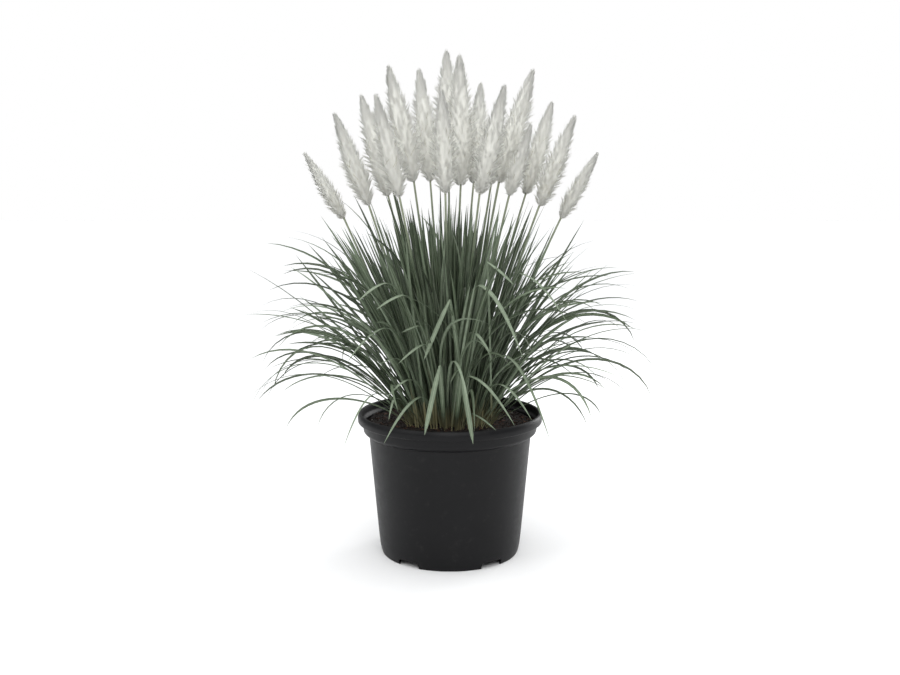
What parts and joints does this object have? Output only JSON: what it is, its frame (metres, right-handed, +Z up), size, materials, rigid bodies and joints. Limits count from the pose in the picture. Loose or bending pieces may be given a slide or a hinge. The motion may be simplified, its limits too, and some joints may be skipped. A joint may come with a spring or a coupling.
{
  "type": "potted ornamental grass clump",
  "caption": "Round black nursery pot holding a clump of fine arching grass leaves and upright stems that end in feathery white plumes.",
  "frame": {"origin": "on the floor under the pot's axis, level with the underside of its foot ring", "axes": "+Z up, along the pot's axis; +Y from the side the pot is seen from towards its back; +X to the right of that side"},
  "size_m": [0.7494, 0.7494, 0.992],
  "materials": {
    "pot_plastic": "satin moulded black plastic",
    "potting_mix": "loose dark bark and peat",
    "flower_stem": "smooth green stem",
    "plume": "feathery white down",
    "leaf": "waxy grey-green leaf"
  },
  "bodies": {
    "root": {"nursery_pot": "pot_plastic", "potting_soil": "potting_mix", "flower_stem_01": "flower_stem", "flower_stem_02": "flower_stem", "flower_stem_03": "flower_stem", "flower_stem_04": "flower_stem", "flower_stem_05": "flower_stem", "flower_stem_06": "flower_stem", "flower_stem_07": "flower_stem", "flower_stem_08": "flower_stem", "flower_stem_09": "flower_stem", "flower_stem_10": "flower_stem", "flower_stem_11": "flower_stem", "flower_stem_12": "flower_stem", "flower_stem_13": "flower_stem", "flower_stem_14": "flower_stem", "flower_stem_15": "flower_stem", "flower_stem_16": "flower_stem", "flower_stem_17": "flower_stem", "flower_stem_18": "flower_stem", "flower_stem_19": "flower_stem", "plume_01": "plume", "plume_02": "plume", "plume_03": "plume", "plume_04": "plume", "plume_05": "plume", "plume_06": "plume", "plume_07": "plume", "plume_08": "plume", "plume_09": "plume", "plume_10": "plume", "plume_11": "plume", "plume_12": "plume", "plume_13": "plume", "plume_14": "plume", "plume_15": "plume", "plume_16": "plume", "plume_17": "plume", "plume_18": "plume", "plume_19": "plume", "upright_shoot_01": "leaf", "upright_shoot_02": "leaf", "upright_shoot_03": "leaf", "upright_shoot_04": "leaf", "upright_shoot_05": "leaf", "upright_shoot_06": "leaf", "upright_shoot_07": "leaf", "upright_shoot_08": "leaf", "arching_shoot_01": "leaf", "arching_shoot_02": "leaf", "arching_shoot_03": "leaf", "arching_shoot_04": "leaf", "arching_shoot_05": "leaf", "arching_shoot_06": "leaf", "arching_shoot_07": "leaf", "arching_shoot_08": "leaf", "arching_shoot_09": "leaf", "arching_shoot_10": "leaf", "arching_shoot_11": "leaf", "arching_shoot_12": "leaf"}
  },
  "joints": []
}
